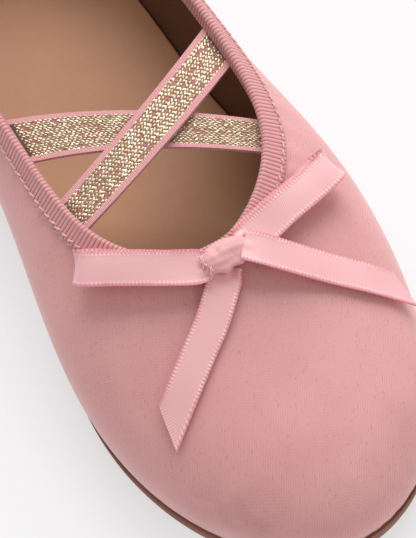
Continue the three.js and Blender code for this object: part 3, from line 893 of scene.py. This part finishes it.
def smoothLine(rows, count):
    # cubic Hermite curve through the rows, slopes weighted by the chords on each side; also the places used
    chord = np.linalg.norm(np.diff(rows[:, :3], axis=0), axis=-1)
    place = np.concatenate(([0.0], np.cumsum(chord)))
    slope = np.diff(rows, axis=0) / chord[:, None]
    inner = (slope[:-1] * chord[1:, None] + slope[1:] * chord[:-1, None]) / (chord[1:] + chord[:-1])[:, None]
    slopes = np.concatenate((slope[:1], inner, slope[-1:]))
    at = np.linspace(0, place[-1], count)
    i = np.clip(np.searchsorted(place, at, side="right") - 1, 0, len(chord) - 1)
    h = chord[i][:, None]
    t = ((at - place[i]) / chord[i])[:, None]
    start = rows[i] * (1 + 2 * t) * (1 - t) ** 2 + slopes[i] * h * t * (1 - t) ** 2
    end = rows[i + 1] * t * t * (3 - 2 * t) + slopes[i + 1] * h * t * t * (t - 1)
    return start + end, at


def knotAxes():
    # the knot's centre, its axis across the vamp, the direction to the heel and the way up
    turn, down = np.array(bowPlace["turn"]), np.array(bowPlace["down"])
    up = wallNormal(turn, riseBelow(turn, down))
    centre = belowRim(turn, down, np.array(bowPlace["off"]))
    across = unit(np.array((-1.0, 0.0, 0.0)) + up * up[0])
    return centre, np.cross(across, up), across, up


def ribbonRows(route, heights, roll):
    # centre points off the upper with the ribbon's across direction beside them
    turn, down = route[:, 0], route[:, 1]
    points = belowRim(turn, down, heights)
    steps = np.concatenate((points[1:2] - points[:1], points[2:] - points[:-2], points[-1:] - points[-2:-1]))
    along = unit(steps)
    knotRise = riseBelow(np.array(bowPlace["turn"]), np.array(bowPlace["down"]))
    knotFacing = wallNormal(np.array(bowPlace["turn"]), knotRise)
    ownFacing = wallNormal(turn, riseBelow(turn, down))
    facing = ownFacing + (knotFacing - ownFacing) * ribbonSize["facing"]
    across = unit(np.cross(facing, along))
    angle = np.radians(roll)
    turned = across * np.cos(angle) + np.cross(along, across) * np.sin(angle)
    return np.concatenate((points, turned), 1)


def rooted(rows, start):
    # the same rows led by a point inside the knot
    return np.concatenate((np.concatenate((start, rows[0, 3:]))[None], rows))


def ribbonSurface(rows, slant, gathered, pinch):
    # a strip carried along the line: width drawn in at gathered ends, soft hollow across, raised picot edges
    s = ribbonSize
    rough = np.linalg.norm(np.diff(rows[:, :3], axis=0), axis=-1).sum()
    line, u = smoothLine(rows, int(rough / s["step"]))
    along = unit(np.gradient(line[:, :3], axis=0))
    across = line[:, 3:]
    across = unit(across - along * (across * along).sum(-1, keepdims=True))
    up = np.cross(along, across)
    w = np.linspace(-1, 1, s["columns"])
    near = np.zeros_like(u)
    for end in gathered:
        near = np.maximum(near, 1 - ease(np.abs(u - u[end]) / s["gather"]))
    half = s["width"] / 2 * (1 - (1 - pinch) * near)[:, None]
    pleats = s["pleatDepth"] * (1 - pinch) * near[:, None] * np.cos(2.6 * np.pi * w)[None]
    hollow = s["hollow"] * (1 - near[:, None]) * (w[None] ** 2 - 0.4) * np.cos(u * 0.16)[:, None]
    cut = slant / 2 * w[None] * ease((u - u[-1] + s["cutRun"]) / s["cutRun"])[:, None]
    v = w * s["width"] / 2
    first, end = s["picotBand"]
    edge = ease((np.abs(v) - first) / 0.2) * ease((end - np.abs(v)) / 0.2)
    beat = np.sin(2 * np.pi * u / s["picotPitch"])
    picot = s["picotHeight"] * edge[None] * ease(beat * 1.2 + 0.3)[:, None]
    scallop = s["scallop"] * beat[:, None] * w[None] ** 9
    middle = line[:, None, :3] + across[:, None] * (half * w[None] + scallop)[..., None]
    middle = middle + along[:, None] * cut[..., None] + up[:, None] * (pleats + hollow)[..., None]
    lift = up[:, None] * (s["halfThickness"] + picot)[..., None]
    return middle + lift, middle - lift, u, v


def makeLoop(loop):
    # out at the lower height, round a fold, back at the upper height
    route, root = loop["route"], loop["root"]
    centre, *axes = knotAxes()
    starts = [centre + np.array((root[0], root[1], height)) @ np.stack(axes) for height in root[2:]]
    out = ribbonRows(route, route[:, 2], 0)
    out[:, :3] += out[:, 3:] * loop["peep"]
    out = rooted(out, starts[0])
    back = rooted(ribbonRows(route, route[:, 3], 0), starts[1])[::-1]
    tip = (out[-1] + back[0]) / 2
    tip[:3] += unit(out[-1, :3] - out[-2, :3]) * ribbonSize["fold"]
    tip[3:] = out[-1, 3:]
    rows = np.concatenate((out, tip[None], back))
    over, under, u, v = ribbonSurface(rows, 0.0, (0, -1), ribbonSize["pinch"])
    piece = addBand(loop["name"], over, under, ribbonSatin, u, v)
    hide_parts(loop["node"])


def makeTail(tail):
    # from inside the knot along its route to a slanted cut
    route = tail["route"]
    rows = ribbonRows(route, route[:, 2], tail["roll"])
    back, dip = tail["lead"]
    start = rows[0, :3] - unit(rows[1, :3] - rows[0, :3]) * back + knotAxes()[3] * dip
    over, under, u, v = ribbonSurface(rooted(rows, start), tail["slant"], (0,), tail["pinch"])
    piece = addBand(tail["name"], over, under, ribbonSatin, u, v)
    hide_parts(tail["node"])


knotSize = {
    "length": 12.0,
    "width": 6.9,
    "height": 3.9,
    "endSwell": 0.62,
    "folds": 5,
    "foldDepth": 0.055,
    "rings": 70,
    "sides": 120,
}


def makeKnot():
    # a barrel drawn in at both ends, with folds along it that twist a little, and two dents
    s = knotSize
    centre, along, across, up = knotAxes()
    t = np.linspace(0, 1, s["rings"])[:, None]
    angle = np.linspace(0, 2 * np.pi, s["sides"], endpoint=False)[None]
    swell = s["endSwell"] + (1 - s["endSwell"]) * np.sin(np.pi * t)
    close = np.sqrt(np.clip(1 - np.abs(2 * t - 1) ** 8, 0, 1))
    folds = 1 + s["foldDepth"] * np.sin(s["folds"] * angle + 2.2 * t + 0.6 * np.sin(2 * angle))
    folds = folds + 0.4 * s["foldDepth"] * np.sin((2 * s["folds"] + 1) * angle - 3.1 * t)
    scallop = 0.12 * bell(angle, np.pi, 0.7) * np.sin(6 * np.pi * t + 0.8)
    dent = 0.16 * bell(t, 0.62, 0.1) * bell(angle, 1.9, 0.5)
    dent = dent + 0.1 * bell(t, 0.36, 0.08) * bell(angle, 1.1, 0.6)
    radius = swell * close * (folds + scallop - dent)
    loops = centre + (t - 0.5)[..., None] * along * s["length"]
    loops = loops + (np.cos(angle) * radius * s["width"] / 2)[..., None] * across
    loops = loops + (np.sin(angle) * radius * s["height"] / 2)[..., None] * up
    u = t[:, 0] * s["length"]
    v = np.linspace(-9, 9, s["sides"] + 1)
    faces = gridFaces(s["rings"], s["sides"], False, True)
    piece = addPiece("bowKnot", loops, faces, knotSatin, gridUv(u, v), crease=180)
    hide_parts("bow_knot")


bowThreadSize = {
    "radius": 0.25,
    "arch": 0.9,
    # start and end of each pass: along the knot, towards the heel, up
    "passes": np.array((
        ((-5.6, 2.6, 1.3), (-5.0, -3.4, 0.6)),
        ((-4.6, 2.2, 1.6), (-6.3, -1.2, 0.9)),
        ((-6.0, 1.4, 1.4), (-4.2, -2.6, 1.1)),
        ((-4.2, -0.9, 1.8), (-5.9, -3.6, 0.4)),
    )),
}


def makeBowThread():
    # a few tight passes of thread across the inner end of the knot, each arched as half a sine
    s = bowThreadSize
    centre, along, across, up = knotAxes()
    starts, ends = s["passes"][:, :1], s["passes"][:, 1:]
    k = np.linspace(0, 1, 11)[None, :, None]
    local = starts + k * (ends - starts)
    local[..., 2] += s["arch"] * np.sin(np.pi * k[..., 0])
    paths = centre + local @ np.stack((along, across, up))
    ups = np.broadcast_to(up, paths.shape)
    addThreads("bowThread", paths, ups, s["radius"], paleThread)


# Sole and insole

slabAround = 640


def spineSlab(profile, tread):
    # rows from the spine of the shoe out over the top, down the edge and back under to the spine
    turn = np.linspace(0, 1, slabAround, endpoint=False)[:, None]
    share, out, top, lift = (profile[None, :, k] for k in range(4))
    edge = np.full(turn.shape, out.min())
    middle = (footOutline(turn, edge) + footOutline(1 - turn, edge)) / 2
    flat = footOutline(turn + 0 * out, out)
    flat = middle + (flat - middle) * share[..., None]
    over = seatHeight(flat[..., 0])
    under = tread(middle[..., 0], flat[..., 0])
    z = under + (over - under) * top + lift
    return np.concatenate((flat, z[..., None]), -1)


soleSize = {
    "round": 0.5,            # radius of the top and bottom edges
    "grooveDepth": 0.25,     # parting line round the edge
}


def makeSole():
    # shares of the way to the edge, outward offset, height share from tread to seat, and lift
    s = soleSize
    m, r = last["soleMargin"], s["round"]
    b = m - last["treadInset"]
    profile = np.array([(k, m, 1.0, 0.0) for k in np.linspace(0, 0.97, 12)] + [
        (1.0, m - r, 1.0, 0.0), (1.0, m - 0.3 * r, 1.0, -0.12 * r), (1.0, m, 1.0, -0.6 * r),
        (1.0, m - 0.02, 0.8, 0.0), (1.0, m - 0.08, 0.74, 0.0), (1.0, m - s["grooveDepth"], 0.7, 0.0),
        (1.0, m - 0.12, 0.66, 0.0), (1.0, m - 0.12, 0.6, 0.0), (1.0, m - 0.25, 0.4, 0.0),
        (1.0, b, 0.0, 0.7 * r), (1.0, b - 0.3 * r, 0.0, 0.15 * r), (1.0, b - r, 0.0, 0.0),
    ] + [(k, b, 0.0, 0.0) for k in np.linspace(0.97, 0, 12)])
    loops = spineSlab(profile, lambda middleX, x: treadHeight(middleX + 0 * x))
    faces = gridFaces(*loops.shape[:2], True, False)
    piece = addPiece("soleUnit", loops, faces, soleRubber)
    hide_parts("outsole")


insoleSize = {"thickness": 2.0, "dish": 0.5}


def makeInsole():
    # a sock of even thickness on the seat, dished a little along the middle, with a soft top edge
    s = insoleSize
    out = -last["wall"] - 0.05
    top = last["gap"] + s["thickness"]
    rows = [(k, out, 1.0, top - s["dish"] * (1 - k * k)) for k in np.linspace(0, 0.97, 24)]
    rows += [(1.0, out - 0.4, 1.0, top), (1.0, out - 0.1, 1.0, top - 0.15), (1.0, out, 1.0, top - 0.5)]
    rows += [(k, out, 1.0, last["gap"]) for k in np.linspace(1.0, 0, 8)]
    loops = spineSlab(np.array(rows), lambda middleX, x: seatHeight(x))
    faces = gridFaces(*loops.shape[:2], True, False)
    piece = addPiece("insoleSock", loops, faces, tanLeather)
    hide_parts("insole")


makeUpper()
makeLining()
makeTape()
makeStitches()
for strap in straps:
    makeStrap(strap)
for loop in bowLoops:
    makeLoop(loop)
for tail in bowTails:
    makeTail(tail)
makeKnot()
makeBowThread()
makeSole()
makeInsole()
print("shoe made")

# Stage, light and camera

studio = {
    "floorHalf": 3.0,
    "worldStrength": 0.5,
    "keyFrom": (-0.62, 0.42, 0.72),
    "keyDistance": 2.2,
    "keySize": 2.0,
    "keyPower": 50.0,
    "fillFrom": (0.62, 0.12, 0.5),
    "fillDistance": 1.8,
    "fillSize": 1.6,
    "fillPower": 3.4,
}


def makeFloor():
    half = studio["floorHalf"]
    material, tree, shader = startFinish(
        "paleFloor", Roughness=0.9, Specular_IOR_Level=0.1, Emission_Strength=0.6)
    shader.inputs["Emission Color"].default_value = tint(254, 253, 254)
    cloud = grain(tree, objectPlace(tree), 6.0, 2.0)
    base = mixColour(tree, cloud, tint(154, 154, 155), tint(156, 156, 157))
    endFinish(tree, shader, base)
    mesh = bpy.data.meshes.new("floor")
    corners = [(-half, -half, 0), (half, -half, 0), (half, half, 0), (-half, half, 0)]
    mesh.from_pydata(corners, [], [(0, 1, 2, 3)])
    mesh.materials.append(material)
    floor = bpy.data.objects.new("floor", mesh)
    bpy.context.collection.objects.link(floor)


def addSoftLight(name, towards, distance, size, power):
    # square soft box on a line from the shoe, facing it
    data = bpy.data.lights.new(name, "AREA")
    data.size = size
    data.energy = power
    lamp = bpy.data.objects.new(name, data)
    axis = unit(np.array(towards))
    side = unit(np.cross(upward, axis))
    columns = np.stack((side, np.cross(axis, side), axis, axis * distance), -1)
    lamp.matrix_world = Matrix(np.vstack((columns, (0, 0, 0, 1))).tolist())
    bpy.context.collection.objects.link(lamp)


def makeLight():
    world = bpy.data.worlds.new("studio")
    world.use_nodes = True
    sky = world.node_tree.nodes["Background"]
    sky.inputs["Color"].default_value = (1.0, 0.99, 0.99, 1.0)
    sky.inputs["Strength"].default_value = studio["worldStrength"]
    bpy.context.scene.world = world
    for name in ("key", "fill"):
        values = [studio[name + part] for part in ("From", "Distance", "Size", "Power")]
        addSoftLight(name, *values)
    bpy.context.scene.view_settings.view_transform = "Standard"


view = {
    "place": (0.327639, -0.106227, 0.556767),
    "forward": (-0.47676, 0.17079, -0.86228),
    "right": (0.48746, 0.86766, -0.09766),
    "lens": 184.19,
}


def makeCamera():
    # looking down over the toe from the inner side, rolled as the picture is
    data = bpy.data.cameras.new("camera")
    data.lens = view["lens"]
    data.sensor_width = 36.0
    camera = bpy.data.objects.new("camera", data)
    forward, right = unit(np.array(view["forward"])), unit(np.array(view["right"]))
    columns = np.stack((right, np.cross(right, forward), -forward, np.array(view["place"])), -1)
    camera.matrix_world = Matrix(np.vstack((columns, (0, 0, 0, 1))).tolist())
    bpy.context.collection.objects.link(camera)
    bpy.context.scene.camera = camera


makeFloor()
makeLight()
makeCamera()
print("stage, light and camera set")
